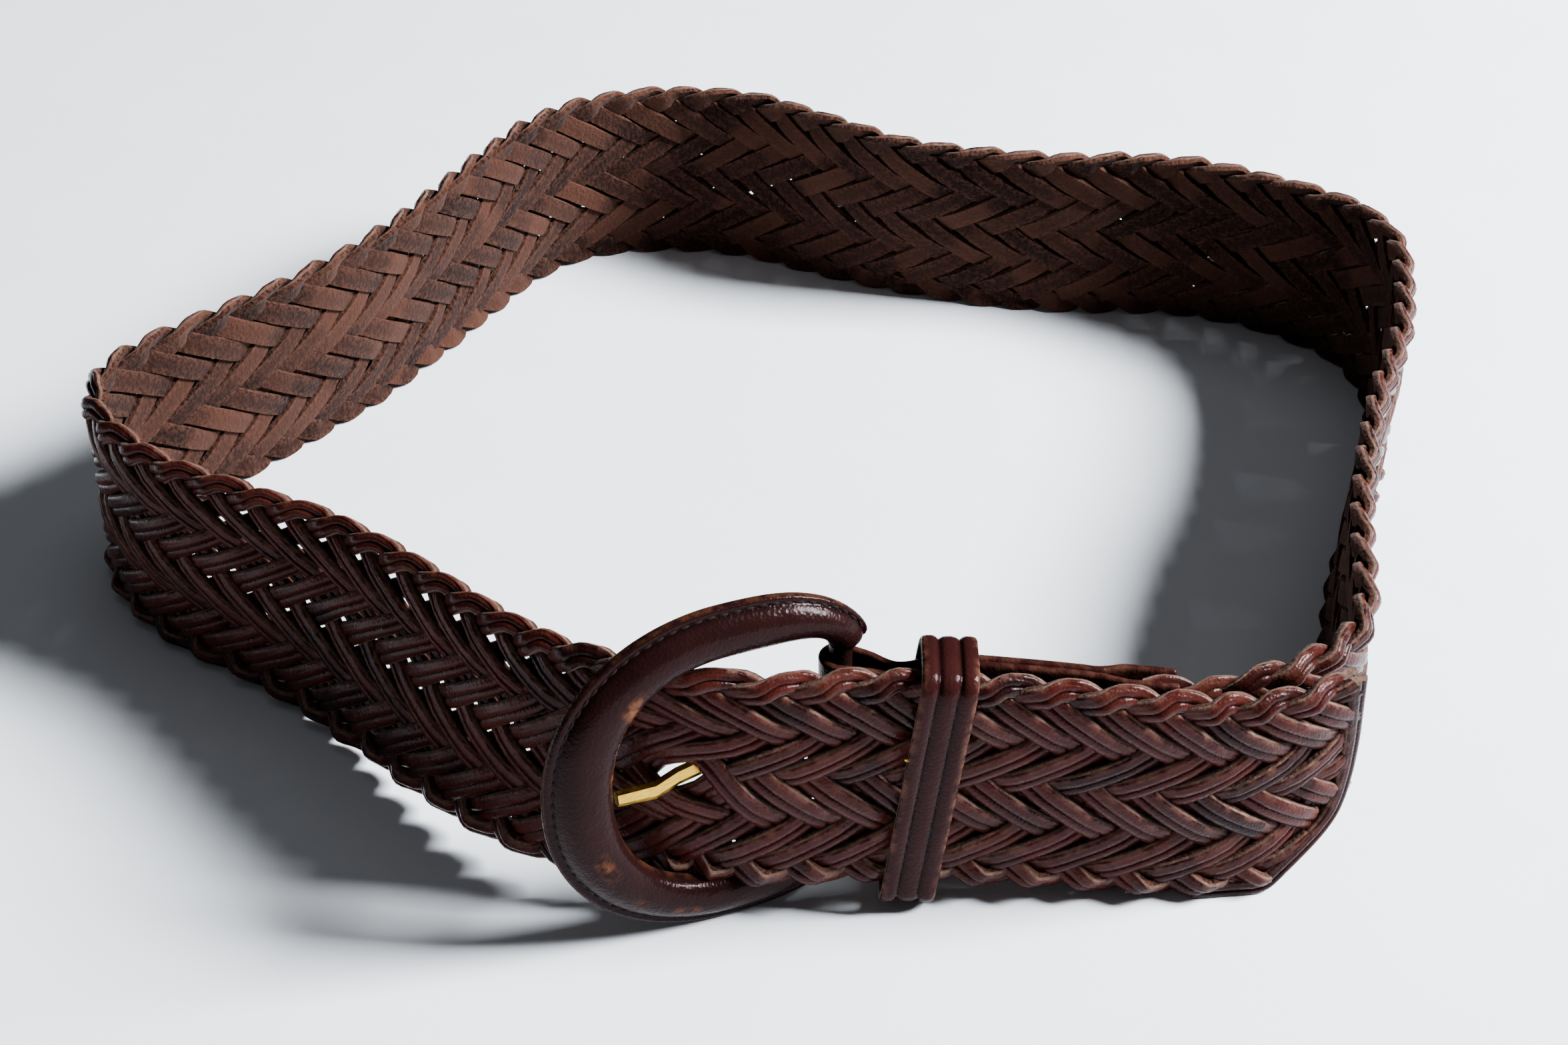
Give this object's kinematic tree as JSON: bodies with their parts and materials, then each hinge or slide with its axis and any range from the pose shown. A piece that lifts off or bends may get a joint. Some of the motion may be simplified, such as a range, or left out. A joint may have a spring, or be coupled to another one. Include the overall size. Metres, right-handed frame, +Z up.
{
  "type": "braided belt",
  "caption": "Wide braided leather belt, fastened in a loop and standing on its lower edge, with a leather-covered buckle frame, a prong, a folded tab and a keeper loop",
  "frame": {"origin": "middle of the footprint's bounding box, on the floor that the lower edge stands on", "axes": "X to the right along the buckled front, Y away from the buckle side, Z up along the strap's width"},
  "size_m": [0.3014, 0.2718, 0.0709],
  "materials": {
    "strap_leather": "glossy dark reddish brown grain outside, matte brown suede inside, worn tan edges",
    "frame_leather": "glossy near-black brown, scuffed to orange brown on the edges",
    "tab_leather": "glossy dark reddish brown, raw tan cut edges",
    "prong_metal": "faceted, worn bright brass",
    "keeper_leather": "glossy reddish brown with two pressed grooves, raw tan cut edges"
  },
  "bodies": {
    "root": {"braided_strap": "strap_leather", "buckle_frame": "frame_leather", "buckle_tab": "tab_leather", "buckle_prong": "prong_metal", "keeper_loop": "keeper_leather"}
  },
  "joints": []
}
